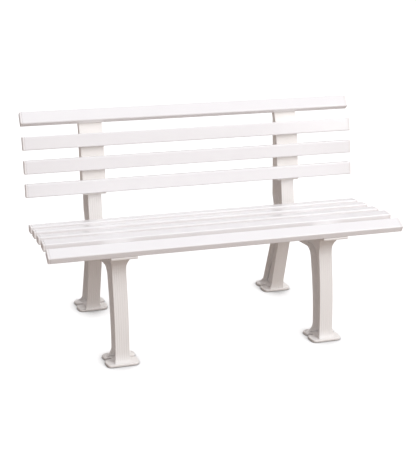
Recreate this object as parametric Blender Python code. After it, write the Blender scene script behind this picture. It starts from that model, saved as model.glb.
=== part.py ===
"""Two-seat plastic garden bench: hollow slats screwed to two moulded side frames.

Metres, +Z up.  X runs along the slats, the sitter faces -Y, the floor is z = 0 and the
origin is the middle of the bench on the floor.  Outlines of the frames lie in the YZ plane.
"""
import math

import bmesh
import bpy
from mathutils import Matrix, Vector

for leftover in list(bpy.data.objects):
    bpy.data.objects.remove(leftover, do_unlink=True)

# ---------------------------------------------------------------- overall sizes
BENCH_LENGTH = 1.250        # over the end caps
FRAME_SPACING = 0.748       # between the middles of the two side frames
GAP = 0.0003                # left between touching pieces

# ---------------------------------------------------------------- slats and end caps
SLAT_WIDTH = 0.048
SLAT_THICK = 0.026
SLAT_WALL = 0.0025
SLAT_EDGE = 0.0045          # corner radius of the extrusion
CAP_RIM = 0.008             # part of a cap that shows beyond the slat
CAP_PLUG = 0.020            # part of a cap inside the slat
CAP_EDGE = 0.0025           # rounding round a cap's end face, along the slat
CAP_FACE_INSET = 0.00225    # and across it

# ---------------------------------------------------------------- where the slats rest
SEAT_FLAT = (-0.2023, 0.4159)       # middle of the rest of the fourth slat, (y, z)
SEAT_FLAT_LEAN = 1.7                # degrees, up to the rear
SEAT_SLOPE = 6.8                    # degrees, down to the rear
SEAT_PITCH = 0.0942
REAR_PITCH = 0.0847                 # second slat to the rearmost
NOSE_PITCH = 0.0905                 # fourth slat to the front one
NOSE_DROP = 0.0026
NOSE_LEAN = 24.7                    # degrees, up to the rear

BACK_LOW = (0.1522, 0.5144)         # middle of the lowest back slat's rest, (y, z)
BACK_PITCH = 0.0827
BACK_LEANS = (10.0, 10.0, 14.5, 41.0)   # degrees from upright, lowest slat first

# ---------------------------------------------------------------- side frame, an I section
FRAME_WIDTH = 0.050
FLANGE_THICK = 0.006
WEB_THICK = 0.007
SEAT_FLANGE_WIDTH = 0.090
SEAT_FLANGE_STEP = 0.008            # over which it widens behind the rearmost slat
BEARER_DEPTH = 0.095
NOSE_LEDGE = 0.0015                 # how far the seat flange shows in front of the first slat
NOSE_EDGE = 0.0065                  # height of that front edge
NOSE_SLOPE = 15.0                   # degrees, down to the rear, of the flange's underside there
NOSE_TAPER = 0.003                  # lost on each side of that underside
NOSE_SWEEP = 0.062                  # radius from the underside into the front leg
SWEEP_SHARE = 0.65                  # share of that radius over which the flange narrows
NOSE_LEG = (0.30, 0.34)             # the leg's face is straight from here up, through these heights

FRONT_LEG_Y = -0.2695               # front face at the floor
FRONT_LEG_BOW = 0.370               # how far the face curves back, per metre squared of height
FRONT_LEG_DEPTH = 0.064             # at the floor
FRONT_HEEL_BOW = 0.585              # the same for its rear edge
BOW_HEIGHTS = (0.09, 0.15, 0.21, 0.27)      # where that curve has its corners
HEEL_TOP = (0.22, 0.28)             # the rear edge is straight above, through these heights

REAR_LEG_Y = 0.2246                 # front face at the floor
REAR_LEG_SPLAY = 0.278              # forward per metre of height
REAR_LEG_DEPTH = 0.098              # at the floor
REAR_LEG_TAPER = 0.108              # loss of that depth per metre of height
KNEE_Z = 0.315
KNEE_RADIUS = 0.050
SHOULDER_RADIUS = 0.060
ARCH_RADIUS = 0.038                 # between a leg and the bearer
CROOK_RADIUS = 0.016                # between the seat flange and the upright
SHOULDER = (0.2425, 0.400)          # where the upright's rear edge straightens, (y, z)
UPRIGHT_TOP = 0.605
UPRIGHT_BACK_LEAN = 4.0             # degrees, of the rear edge

FOOT_THICK = 0.009
FOOT_FRONT_WIDTH = 0.105
FOOT_LOBE_WIDTH = 0.114
FRONT_FOOT_Y = -0.288               # front edge
FRONT_FOOT_DEPTH = 0.106
REAR_FOOT_Y = 0.213
REAR_FOOT_DEPTH = 0.112
TOE_MARGIN = 0.003                  # from a flare's end to the plate's edge
FOOT_SLOT_WIDTH = 0.012             # open slot for a ground screw
FOOT_SLOT_END = 0.029               # from the middle to the slot's round end
FLARE_HEIGHT = 0.045                # over which a leg widens to its foot
REAR_FLARE_HEIGHT = 0.029           # the same for the rear leg's rear flange
FACE_SPREAD = 0.005                 # how far a leg's front flange spreads sideways at the foot
HEEL_SPREAD = 0.024                 # how far a front leg's rear flange does
REAR_HEEL_SPREAD = 0.020            # how far a rear leg's rear flange does
HEEL_REACH = 0.010                  # how far back the front leg's rear flange runs out

ROOT_LOW = 0.3                      # share of the plate's thickness where a leg's root ends
ROOT_HIGH = 0.6                     # and where the root's inside ends

LOBE_START = 0.030                  # foot plate: where its side lobes are widest, from the front
LOBE_END = 0.042
SLOT_MIDDLE = 0.060
REAR_LOBE_START = 0.080
FOOT_CORNER = 0.012                 # cut off the rear corners
TOE_ROUND = 0.013                   # corner radii in plan: front corners
LOBE_ROUND = 0.010                  # front of the lobes
LOBE_END_ROUND = 0.006              # their ends beside the slots
MOUTH_ROUND = 0.004                 # where the lobes meet the slots
SLOT_ROUND = 0.98                   # share of the slot's half width that its end is rounded by
HEEL_ROUND = 0.008                  # rear corners
FOOT_DRAFT = 0.0025                 # the plate's lower edge is set in by this
FOOT_ROUND = 0.0015                 # and its upper edge by this

# ---------------------------------------------------------------- back bracket, a channel
BRACKET_WIDTH = 0.085
BRACKET_THICK = 0.006
BRACKET_WALL = 0.004
BRACKET_BELOW = 0.032               # lowest rest's middle to the lower end
BRACKET_ABOVE = 0.020               # highest rest's middle to the upper end
SKIRT_FOOT_Y = 0.200                # rear edge of the side walls at the lower end
SKIRT_FOOT_RISE = 0.004             # how much higher than the front that end is
SKIRT_BEND = (0.224, 0.712)         # where that edge turns with the top slat, (y, z)
SKIRT_TOP_DEPTH = 0.020

# ---------------------------------------------------------------- fasteners
SCREW_RADIUS = 0.0023
SCREW_HEAD_RADIUS = 0.0045
SCREW_HEAD_HEIGHT = 0.0030
SCREW_CROWN = 0.55                  # the head's flat top, as a share of its radius
SCREW_DOME = 0.9                    # the same, one step lower
SCREW_DOME_STEP = 0.0010
SCREW_REACH = 0.010                 # into the slat, past its wall
SCREW_TIP = 0.003                   # length of the tip
SCREW_POINT = 0.2                   # the tip's end, as a share of the screw's radius
BOLT_RADIUS = 0.0030
BOLT_HEAD_RADIUS = 0.0060
BOLT_HEAD_HEIGHT = 0.0033
NUT_RADIUS = 0.0056
NUT_THICK = 0.0050
BOLT_STUB = 0.0020                  # bolt past its nut
BOLT_CHAMFER = 0.0010               # length of the bevel at its end
BOLT_END = 0.8                      # that end, as a share of the bolt's radius

ROUND = 12                          # sides of a screw, bolt or hole
ARC = 6                             # steps in a large fillet or a flare
SLAT_ARC = 3                        # steps in a slat's corner
FOOT_ARC = 2                        # steps in a foot plate's corner
THROUGH = 1.6                       # how many wall thicknesses deep a hole is cut
CLEAR = 0.10                        # how far a large cutter runs past its piece


# ================================================================ materials
def plain(name, colour, roughness, metallic=0.0):
    """A Principled material with one colour."""
    material = bpy.data.materials.new(name)
    material.use_nodes = True
    shader = material.node_tree.nodes["Principled BSDF"]
    shader.inputs["Base Color"].default_value = (*colour, 1.0)
    shader.inputs["Roughness"].default_value = roughness
    shader.inputs["Metallic"].default_value = metallic
    return material


SLAT_PVC = plain("slat_pvc_white", (0.86, 0.84, 0.84), 0.22)
FRAME_PP = plain("frame_polypropylene_white", (0.84, 0.81, 0.78), 0.45)
CAP_PVC = plain("cap_pvc_white", (0.88, 0.86, 0.85), 0.30)
ZINC = plain("zinc_plated_steel", (0.62, 0.62, 0.60), 0.35, 1.0)


# ================================================================ plane geometry, points are (y, z)
def along(point, angle, distance):
    """The point at a distance in the direction of an angle, in degrees from +Y towards +Z."""
    turn = math.radians(angle)
    return (point[0] + distance * math.cos(turn), point[1] + distance * math.sin(turn))


def meet(a, b, c, d):
    """Where the line through a and b crosses the line through c and d."""
    first = Vector((b[0] - a[0], b[1] - a[1]))
    second = Vector((d[0] - c[0], d[1] - c[1]))
    cross = first.x * second.y - first.y * second.x
    step = ((c[0] - a[0]) * second.y - (c[1] - a[1]) * second.x) / cross
    return (a[0] + step * first.x, a[1] + step * first.y)


def shifted(a, b, distance):
    """The edge from a to b, moved to its left by a distance."""
    edge = Vector((b[0] - a[0], b[1] - a[1])).normalized()
    side = (-edge.y * distance, edge.x * distance)
    return (a[0] + side[0], a[1] + side[1]), (b[0] + side[0], b[1] + side[1])


def left_of(a, b):
    """Unit vector to the left of the edge from a to b."""
    edge = (Vector(b) - Vector(a)).normalized()
    return Vector((-edge.y, edge.x))


def offset(points, distance, closed):
    """The line through the points moved to its left, with mitred corners."""
    moved = []
    last = len(points) - 1
    for index, point in enumerate(points):
        sides = []
        if closed or index > 0:
            sides.append(left_of(points[index - 1], point))
        if closed or index < last:
            sides.append(left_of(point, points[(index + 1) % len(points)]))
        mitre = (sides[0] + sides[-1]) / (1.0 + sides[0].dot(sides[-1]))
        moved.append(tuple(Vector(point) + mitre * distance))
    return moved


def fillet(before, corner, after, radius, steps):
    """Points of the arc that rounds one corner; a radius of 0 keeps the corner."""
    if radius <= 0.0:
        return [corner]
    here = Vector(corner)
    start = (Vector(before) - here).normalized()
    end = (Vector(after) - here).normalized()
    half = start.angle(end) / 2.0
    reach = radius / math.tan(half)
    centre = here + (start + end).normalized() * (radius / math.sin(half))
    first = here + start * reach - centre
    last = here + end * reach - centre
    sweep = math.atan2(first.x * last.y - first.y * last.x, first.dot(last))
    points = []
    for step in range(steps + 1):
        turned = Matrix.Rotation(sweep * step / steps, 2) @ first
        points.append(tuple(centre + turned))
    return points


def rounded(corners, radii, steps):
    """The outline through the corners, each rounded by its own radius."""
    points = []
    for index, corner in enumerate(corners):
        after = corners[(index + 1) % len(corners)]
        points.extend(fillet(corners[index - 1], corner, after, radii[index], steps))
    return points


def turning(before, corner, after):
    """Positive where an anticlockwise outline bulges, negative where it is hollow."""
    return ((corner[0] - before[0]) * (after[1] - corner[1])
            - (corner[1] - before[1]) * (after[0] - corner[0]))


# ================================================================ mesh building
def finish_mesh(name, bm):
    """Close the bmesh into a mesh with its faces pointing outwards."""
    bmesh.ops.recalc_face_normals(bm, faces=bm.faces)
    mesh = bpy.data.meshes.new(name)
    bm.to_mesh(mesh)
    bm.free()
    return mesh


def add_object(name, mesh, material, place=Matrix.Identity(4)):
    """A named object at a place."""
    piece = bpy.data.objects.new(name, mesh)
    bpy.context.scene.collection.objects.link(piece)
    piece.matrix_world = place
    if material is not None:
        mesh.materials.clear()
        mesh.materials.append(material)
    return piece


def ring(bm, points):
    """Vertices at the points, in order."""
    return [bm.verts.new(point) for point in points]


def skin(bm, loop_a, loop_b):
    """Quads between two rings of equal length."""
    count = len(loop_a)
    for index in range(count):
        after = (index + 1) % count
        bm.faces.new((loop_a[index], loop_a[after], loop_b[after], loop_b[index]))


def prism_mesh(name, outline, x_low, x_high):
    """A YZ outline extruded along X."""
    bm = bmesh.new()
    low = ring(bm, [(x_low, y, z) for y, z in outline])
    high = ring(bm, [(x_high, y, z) for y, z in outline])
    skin(bm, low, high)
    bm.faces.new(low)
    bm.faces.new(high)
    return finish_mesh(name, bm)


def tube_mesh(name, outer, inner, half_length):
    """A YZ outline with an inner outline, extruded along X and open at both ends."""
    bm = bmesh.new()
    loops = []
    for outline in (outer, inner):
        for x in (-half_length, half_length):
            loops.append(ring(bm, [(x, y, z) for y, z in outline]))
    outer_low, outer_high, inner_low, inner_high = loops
    skin(bm, outer_low, outer_high)
    skin(bm, inner_low, inner_high)
    skin(bm, outer_low, inner_low)
    skin(bm, outer_high, inner_high)
    return finish_mesh(name, bm)


def turned_mesh(name, profile, sides=ROUND):
    """A profile of (radius, height) spun round Z and closed at both ends."""
    bm = bmesh.new()
    loops = []
    for radius, height in profile:
        points = []
        for side in range(sides):
            turn = 2.0 * math.pi * side / sides
            points.append((radius * math.cos(turn), radius * math.sin(turn), height))
        loops.append(ring(bm, points))
    for lower, upper in zip(loops, loops[1:]):
        skin(bm, lower, upper)
    bm.faces.new(loops[0])
    bm.faces.new(loops[-1])
    return finish_mesh(name, bm)


def cutter(name, mesh, place=Matrix.Identity(4)):
    """A guide object that only shapes other pieces."""
    tool = add_object(name, mesh, None, place)
    tool.hide_render = True
    tool.display_type = "WIRE"
    return tool


def combine(piece, tool, operation):
    """A Boolean modifier on the piece."""
    step = piece.modifiers.new(tool.name, "BOOLEAN")
    step.operation = operation
    step.solver = "EXACT"
    step.object = tool


# ================================================================ rests of the slats
def rest(name, point, angle):
    """One slat's place: the middle of its underside and the angle of its width."""
    return {"name": name, "point": point, "angle": angle}


def seat_rests():
    """The five seat rests, rearmost first."""
    third = along(SEAT_FLAT, -SEAT_SLOPE, SEAT_PITCH)
    second = along(third, -SEAT_SLOPE, SEAT_PITCH)
    rear = along(second, -SEAT_SLOPE, REAR_PITCH)
    nose = (SEAT_FLAT[0] - NOSE_PITCH, SEAT_FLAT[1] - NOSE_DROP)
    return [rest("seat_slat_1", rear, -SEAT_SLOPE),
            rest("seat_slat_2", second, -SEAT_SLOPE),
            rest("seat_slat_3", third, -SEAT_SLOPE),
            rest("seat_slat_4", SEAT_FLAT, SEAT_FLAT_LEAN),
            rest("seat_slat_5", nose, NOSE_LEAN)]


def back_rests():
    """The four back rests, highest first."""
    point = BACK_LOW
    lean = BACK_LEANS[0]
    rests = [rest("back_slat_4", point, 90.0 - lean)]
    for number, next_lean in zip((3, 2, 1), BACK_LEANS[1:]):
        point = along(point, 90.0 - (lean + next_lean) / 2.0, BACK_PITCH)
        lean = next_lean
        rests.append(rest("back_slat_%d" % number, point, 90.0 - lean))
    rests.reverse()
    return rests


SEAT = seat_rests()
BACK = back_rests()


def rest_ends(place, reach=SLAT_WIDTH / 2.0):
    """The two ends of a rest, lower or front end first."""
    return (along(place["point"], place["angle"], -reach),
            along(place["point"], place["angle"], reach))


def rest_matrix(place, x, lift=0.0):
    """Local X along the slat, Y up its width, Z away from the frame."""
    point = along(place["point"], place["angle"] + 90.0, lift)
    move = Matrix.Translation((x, point[0], point[1]))
    return move @ Matrix.Rotation(math.radians(place["angle"]), 4, "X")


# ================================================================ slats and caps
def slat_outline(shrink):
    """The slat's rounded section, centred on its rest and lying above it."""
    half = SLAT_WIDTH / 2.0 - shrink
    low = shrink
    high = SLAT_THICK - shrink
    corners = [(-half, low), (half, low), (half, high), (-half, high)]
    radius = max(SLAT_EDGE - shrink, SLAT_EDGE / 3.0)
    return rounded(corners, [radius] * 4, SLAT_ARC)


SIDES = (("left", -1.0), ("right", 1.0))
TUBE_HALF = BENCH_LENGTH / 2.0 - CAP_RIM - GAP
SCREW_HOLE = SCREW_RADIUS + GAP
SEAT_SCREW_X = FRAME_SPACING / 2.0 - (FRAME_WIDTH + SEAT_FLANGE_WIDTH) / 4.0
BACK_SCREW_X = FRAME_SPACING / 2.0 - (FRAME_WIDTH + BRACKET_WIDTH - 2.0 * BRACKET_WALL) / 4.0


def hole_rod(name, radius, low, high, place):
    """A round cutter from low to high along a place's Z."""
    return cutter(name, turned_mesh(name, [(radius, low), (radius, high)]), place)


def add_slat(place, screw_x):
    """One hollow slat with a screw hole over each frame."""
    mesh = tube_mesh(place["name"], slat_outline(0.0), slat_outline(SLAT_WALL), TUBE_HALF)
    slat = add_object(place["name"], mesh, SLAT_PVC, rest_matrix(place, 0.0, GAP))
    for side, sign in SIDES:
        name = "cut_%s_%s" % (place["name"], side)
        matrix = rest_matrix(place, sign * screw_x)
        rod = hole_rod(name, SCREW_HOLE, -2.0 * GAP, THROUGH * SLAT_WALL, matrix)
        combine(slat, rod, "DIFFERENCE")


def cap_mesh(name):
    """A cap for the right-hand end: a rounded rim and a plug that fits the slat's bore."""
    bm = bmesh.new()
    rim = slat_outline(0.0)
    face = slat_outline(CAP_FACE_INSET)
    plug = slat_outline(SLAT_WALL + GAP)
    outer = BENCH_LENGTH / 2.0
    inner = outer - CAP_RIM
    stations = [(plug, inner - CAP_PLUG), (plug, inner), (rim, inner),
                (rim, outer - CAP_EDGE), (face, outer)]
    loops = [ring(bm, [(x, y, z) for y, z in outline]) for outline, x in stations]
    for lower, upper in zip(loops, loops[1:]):
        skin(bm, lower, upper)
    bm.faces.new(loops[0])
    bm.faces.new(loops[-1])
    return finish_mesh(name, bm)


def add_caps(place, mesh):
    """Both end caps of a slat; the left one is the right one turned half round."""
    add_object(place["name"] + "_cap_right", mesh, CAP_PVC, rest_matrix(place, 0.0, GAP))
    turn = Matrix.Translation((0.0, 0.0, SLAT_THICK / 2.0)) @ Matrix.Rotation(math.pi, 4, "Y")
    turn = turn @ Matrix.Translation((0.0, 0.0, -SLAT_THICK / 2.0))
    add_object(place["name"] + "_cap_left", mesh, CAP_PVC, rest_matrix(place, 0.0, GAP) @ turn)


# ================================================================ side frames
def front_leg_face(z):
    """Y of the front leg's front face at a height."""
    return FRONT_LEG_Y + FRONT_LEG_BOW * z * z


def front_leg_heel(z):
    """Y of the front leg's rear edge at a height."""
    return FRONT_LEG_Y + FRONT_LEG_DEPTH + FRONT_HEEL_BOW * z * z


def rear_leg_face(z):
    """Y of the rear leg's front face at a height."""
    return REAR_LEG_Y - REAR_LEG_SPLAY * z


def rear_leg_heel(z):
    """Y of the rear leg's rear edge at a height."""
    return rear_leg_face(z) + REAR_LEG_DEPTH - REAR_LEG_TAPER * z


def upright_face():
    """Two points of the upright's front face, which the bracket's plate lies on."""
    low = BACK[-1]
    start = along(low["point"], low["angle"] + 90.0, -(BRACKET_THICK + GAP))
    return start, along(start, low["angle"], BACK_PITCH)


SLIM = FRAME_WIDTH / 2.0
WIDE = SEAT_FLANGE_WIDTH / 2.0


def corner(point, radius=0.0, before=SLIM, after=SLIM, inner=None):
    """A corner of the frame's side view, with the flange's half width before and after it."""
    return {"point": point, "radius": radius, "before": before, "after": after, "inner": inner}


def flared(edge, reach, spread, height):
    """Corners down one edge of a leg, whose flange runs out to the foot in quarter curves.

    The flange's outer side curves away by the reach and widens by the spread; its inner side
    stays straight, so the flange thickens towards the foot.  The last two corners are inside
    the foot plate."""
    lean = math.hypot(1.0, (edge(height) - edge(0.0)) / height)
    inward = -math.copysign(FLANGE_THICK * lean, reach)
    low = FOOT_THICK - 2.0 * GAP
    corners = []
    for step in range(ARC + 1):
        turn = math.pi / 2.0 * step / ARC
        z = low + (height - low) * (1.0 - math.sin(turn))
        out = 1.0 - math.cos(turn)
        half_width = SLIM + spread * out
        inner = (edge(z) + inward, z)
        corners.append(corner((edge(z) + reach * out, z), 0.0, half_width, half_width, inner))
    root_low = FOOT_THICK * ROOT_LOW
    root_high = FOOT_THICK * ROOT_HIGH
    root_end = (corners[-1]["point"][0], root_low)
    inner = (edge(root_high) + inward, root_high)
    corners.append(corner(root_end, 0.0, half_width, half_width, inner))
    buried = inner[0] + inward
    corners.append(corner((buried, root_low), 0.0, FLANGE_THICK, FLANGE_THICK, (buried, root_high)))
    return corners


def edge_points(edge, heights):
    """The points of a leg's edge at some heights."""
    return [(edge(z), z) for z in heights]


def plain_corners(edge, heights):
    """Corners along a leg's edge where its flange has the frame's usual width."""
    return [corner(point) for point in edge_points(edge, heights)]


def nose_corners():
    """The seat flange's front edge, its underside and the sweep into the front leg."""
    tip = along(SEAT[4]["point"], SEAT[4]["angle"], -SLAT_WIDTH / 2.0 - NOSE_LEDGE)
    under = (tip[0] + NOSE_LEDGE / 2.0, tip[1] - NOSE_EDGE)
    leg = edge_points(front_leg_face, NOSE_LEG)
    bend = meet(under, along(under, -NOSE_SLOPE, 1.0), *leg)
    return [corner(tip, 0.0, WIDE, WIDE),
            corner(under, 0.0, WIDE, WIDE),
            corner(bend, NOSE_SWEEP, WIDE - NOSE_TAPER, SLIM)]


def frame_corners():
    """Corners of the frame's side view, anticlockwise seen from +X."""
    face_low, face_high = upright_face()
    rear_rest = rest_ends(SEAT[0])[1]
    seat_line_end = along(rear_rest, -SEAT_SLOPE, 1.0)
    bearer_low = shifted(rest_ends(SEAT[2])[0], rest_ends(SEAT[1])[1], -BEARER_DEPTH)
    knee = (rear_leg_heel(KNEE_Z), KNEE_Z)
    crown = along(SHOULDER, 90.0 - UPRIGHT_BACK_LEAN, 1.0)
    level = ((0.0, UPRIGHT_TOP), (1.0, UPRIGHT_TOP))
    splay = edge_points(rear_leg_face, (0.0, 1.0))
    heel = edge_points(front_leg_heel, HEEL_TOP)
    front_toe = FRONT_FOOT_Y + TOE_MARGIN - front_leg_face(0.0)
    rear_toe = REAR_FOOT_Y + TOE_MARGIN - rear_leg_face(0.0)

    corners = nose_corners()
    corners.extend(plain_corners(front_leg_face, reversed(BOW_HEIGHTS)))
    corners.extend(flared(front_leg_face, front_toe, FACE_SPREAD, FLARE_HEIGHT))
    corners.extend(reversed(flared(front_leg_heel, HEEL_REACH, HEEL_SPREAD, FLARE_HEIGHT)))
    corners.extend(plain_corners(front_leg_heel, BOW_HEIGHTS[:3]))
    corners.append(corner(meet(*heel, *bearer_low), ARCH_RADIUS))
    corners.append(corner(meet(*bearer_low, *splay), ARCH_RADIUS))
    corners.extend(flared(rear_leg_face, rear_toe, FACE_SPREAD, FLARE_HEIGHT))
    corners.extend(reversed(flared(rear_leg_heel, GAP, REAR_HEEL_SPREAD, REAR_FLARE_HEIGHT)))
    corners.append(corner(knee, KNEE_RADIUS))
    corners.append(corner(SHOULDER, SHOULDER_RADIUS))
    corners.append(corner(meet(SHOULDER, crown, *level)))
    corners.append(corner(meet(face_low, face_high, *level)))
    corners.append(corner(meet(face_low, face_high, rear_rest, seat_line_end), CROOK_RADIUS))
    corners.append(corner(along(rear_rest, -SEAT_SLOPE, 2.0 * SEAT_FLANGE_STEP)))
    corners.append(corner(along(rear_rest, -SEAT_SLOPE, SEAT_FLANGE_STEP), 0.0, WIDE, WIDE))
    for place in SEAT:
        front, rear = rest_ends(place)
        corners.append(corner(rear, 0.0, WIDE, WIDE))
        if place is not SEAT[4]:
            corners.append(corner(front, 0.0, WIDE, WIDE))
    return corners


def frame_mesh(name):
    """The I section: a flange that follows the outline, and a web in the middle."""
    corners = frame_corners()
    points = [place["point"] for place in corners]
    inner_points = offset(points, FLANGE_THICK, True)
    for index, place in enumerate(corners):
        if place["inner"]:
            inner_points[index] = place["inner"]
    outer = []
    inner = []
    widths = []
    for index, place in enumerate(corners):
        before = points[index - 1]
        after = points[(index + 1) % len(points)]
        arc = fillet(before, points[index], after, place["radius"], ARC)
        if place["radius"] > 0.0:
            bulge = math.copysign(FLANGE_THICK, turning(before, points[index], after))
            inner_before = inner_points[index - 1]
            inner_after = inner_points[(index + 1) % len(points)]
            inner_radius = place["radius"] - bulge
            inner_arc = fillet(inner_before, inner_points[index], inner_after, inner_radius, ARC)
        else:
            inner_arc = [inner_points[index]]
        for step, (outer_point, inner_point) in enumerate(zip(arc, inner_arc)):
            share = min(step / (SWEEP_SHARE * max(len(arc) - 1, 1)), 1.0)
            outer.append(outer_point)
            inner.append(inner_point)
            widths.append(place["before"] + (place["after"] - place["before"]) * share)
    bm = bmesh.new()
    walls = []
    for sign in (-1.0, 1.0):
        rim = ring(bm, [(sign * w, y, z) for w, (y, z) in zip(widths, outer)])
        lip = ring(bm, [(sign * w, y, z) for w, (y, z) in zip(widths, inner)])
        floor = ring(bm, [(sign * WEB_THICK / 2.0, y, z) for y, z in inner])
        skin(bm, rim, lip)
        skin(bm, lip, floor)
        bm.faces.new(floor)
        walls.append(rim)
    skin(bm, walls[0], walls[1])
    return finish_mesh(name, bm)


def foot_outline(depth):
    """Plan of a foot plate, (x, y) from the middle of its front edge, anticlockwise."""
    front = FOOT_FRONT_WIDTH / 2.0
    lobe = FOOT_LOBE_WIDTH / 2.0
    slot = FOOT_SLOT_WIDTH / 2.0
    half = [((front, 0.0), TOE_ROUND),
            ((lobe, LOBE_START), LOBE_ROUND),
            ((lobe, LOBE_END), LOBE_END_ROUND),
            ((front, SLOT_MIDDLE - slot), MOUTH_ROUND),
            ((FOOT_SLOT_END, SLOT_MIDDLE - slot), slot * SLOT_ROUND),
            ((FOOT_SLOT_END, SLOT_MIDDLE + slot), slot * SLOT_ROUND),
            ((front, SLOT_MIDDLE + slot), MOUTH_ROUND),
            ((lobe, REAR_LOBE_START), LOBE_END_ROUND),
            ((lobe, depth - FOOT_CORNER), HEEL_ROUND),
            ((lobe - FOOT_CORNER, depth), HEEL_ROUND)]
    mirrored = [((-x, y), radius) for (x, y), radius in reversed(half)]
    plan = half + mirrored
    corners = [point for point, radius in plan]
    radii = [radius for point, radius in plan]
    return rounded(corners, radii, FOOT_ARC)


def foot_mesh(name, depth):
    """A foot plate on the floor with its front edge at y = 0, drawn in below and rounded above."""
    bm = bmesh.new()
    outline = foot_outline(depth)
    layers = ((0.0, FOOT_DRAFT), (FOOT_DRAFT, 0.0),
              (FOOT_THICK - FOOT_ROUND, 0.0), (FOOT_THICK, FOOT_ROUND))
    loops = []
    for z, inset in layers:
        loops.append(ring(bm, [(x, y, z) for x, y in offset(outline, inset, True)]))
    for lower, upper in zip(loops, loops[1:]):
        skin(bm, lower, upper)
    bm.faces.new(loops[0])
    bm.faces.new(loops[-1])
    return finish_mesh(name, bm)


BOLT_X = FRAME_SPACING / 2.0 - (WEB_THICK + FRAME_WIDTH) / 4.0
BOLTED = (BACK[3], BACK[2])
FEET = (("front", FRONT_FOOT_Y, FRONT_FOOT_DEPTH), ("rear", REAR_FOOT_Y, REAR_FOOT_DEPTH))


def add_frame(side, sign):
    """One side frame with its feet, screw holes and bolt holes."""
    name = "side_frame_" + side
    middle = sign * FRAME_SPACING / 2.0
    frame = add_object(name, frame_mesh(name), FRAME_PP, Matrix.Translation((middle, 0.0, 0.0)))
    for label, y, depth in FEET:
        foot_name = "foot_%s_%s" % (label, side)
        foot = cutter(foot_name, foot_mesh(foot_name, depth), Matrix.Translation((middle, y, 0.0)))
        combine(frame, foot, "UNION")
    for place in SEAT:
        matrix = rest_matrix(place, sign * SEAT_SCREW_X)
        rod_name = "cut_%s_%s" % (name, place["name"])
        rod = hole_rod(rod_name, SCREW_HOLE, -THROUGH * FLANGE_THICK, FLANGE_THICK, matrix)
        combine(frame, rod, "DIFFERENCE")
    for number, place in enumerate(BOLTED, 1):
        matrix = rest_matrix(place, sign * BOLT_X, -BRACKET_THICK)
        rod_name = "cut_%s_bolt_%d" % (name, number)
        rod = hole_rod(rod_name, BOLT_RADIUS + GAP, -THROUGH * FLANGE_THICK, FLANGE_THICK, matrix)
        combine(frame, rod, "DIFFERENCE")


# ================================================================ back brackets
def bracket_front():
    """The bracket's front line, from its lower end to its upper end."""
    lowest = BACK[-1]
    points = [along(lowest["point"], lowest["angle"], -BRACKET_BELOW)]
    for place in reversed(BACK):
        points.extend(rest_ends(place))
    points[-1] = along(BACK[0]["point"], BACK[0]["angle"], BRACKET_ABOVE)
    return points


def bracket_mesh(name):
    """Front plate with two side walls; the top is closed, the rear and the foot are open."""
    front = bracket_front()
    end_angle = BACK[0]["angle"] - 90.0
    top_rear = along(front[-1], end_angle, SKIRT_TOP_DEPTH)
    foot_rear = (SKIRT_FOOT_Y, front[0][1] + SKIRT_FOOT_RISE)
    outline = list(reversed(front)) + [foot_rear, SKIRT_BEND, top_rear]
    return prism_mesh(name, outline, -BRACKET_WIDTH / 2.0, BRACKET_WIDTH / 2.0)


def bracket_hollow_mesh(name):
    """The space inside the channel, run out past the rear and the lower end."""
    front = bracket_front()
    lowest = BACK[-1]
    line = [along(lowest["point"], lowest["angle"], -BRACKET_BELOW - CLEAR)] + front[1:]
    line[-1] = along(BACK[0]["point"], BACK[0]["angle"], BRACKET_ABOVE - BRACKET_WALL)
    inner = offset(line, -BRACKET_THICK, False)
    far_top = along(inner[-1], BACK[0]["angle"] - 90.0, CLEAR)
    far_low = (inner[0][0] + 2.0 * CLEAR, inner[0][1])
    half = BRACKET_WIDTH / 2.0 - BRACKET_WALL
    return prism_mesh(name, list(reversed(inner)) + [far_low, far_top], -half, half)


def add_bracket(side, sign):
    """One back bracket with its screw holes and countersunk bolt holes."""
    name = "back_bracket_" + side
    middle = Matrix.Translation((sign * FRAME_SPACING / 2.0, 0.0, 0.0))
    bracket = add_object(name, bracket_mesh(name), FRAME_PP, middle)
    tool_name = "hollow_" + name
    combine(bracket, cutter(tool_name, bracket_hollow_mesh(tool_name), middle), "DIFFERENCE")
    for place in BACK:
        rod_name = "cut_%s_%s" % (name, place["name"])
        matrix = rest_matrix(place, sign * BACK_SCREW_X)
        rod = hole_rod(rod_name, SCREW_HOLE, -THROUGH * BRACKET_THICK, BRACKET_THICK, matrix)
        combine(bracket, rod, "DIFFERENCE")
    for number, place in enumerate(BOLTED, 1):
        rod_name = "cut_%s_bolt_%d" % (name, number)
        hole = BOLT_RADIUS + GAP
        sink = BOLT_HEAD_RADIUS + GAP
        profile = [(hole, -THROUGH * BRACKET_THICK), (hole, -BOLT_HEAD_HEIGHT - GAP),
                   (sink, -2.0 * GAP), (sink, BRACKET_THICK)]
        matrix = rest_matrix(place, sign * BOLT_X)
        combine(bracket, cutter(rod_name, turned_mesh(rod_name, profile), matrix), "DIFFERENCE")


# ================================================================ fasteners
def screw_mesh(name, grip):
    """A pan-head screw, head down, whose head bears at z = -grip."""
    under = -grip - GAP
    head = under - SCREW_HEAD_HEIGHT
    tip = SLAT_WALL + SCREW_REACH
    profile = [(SCREW_HEAD_RADIUS * SCREW_CROWN, head),
               (SCREW_HEAD_RADIUS * SCREW_DOME, head + SCREW_DOME_STEP),
               (SCREW_HEAD_RADIUS, head + 2.0 * SCREW_DOME_STEP),
               (SCREW_HEAD_RADIUS, under),
               (SCREW_RADIUS, under),
               (SCREW_RADIUS, tip - SCREW_TIP),
               (SCREW_RADIUS * SCREW_POINT, tip)]
    return turned_mesh(name, profile)


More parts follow.
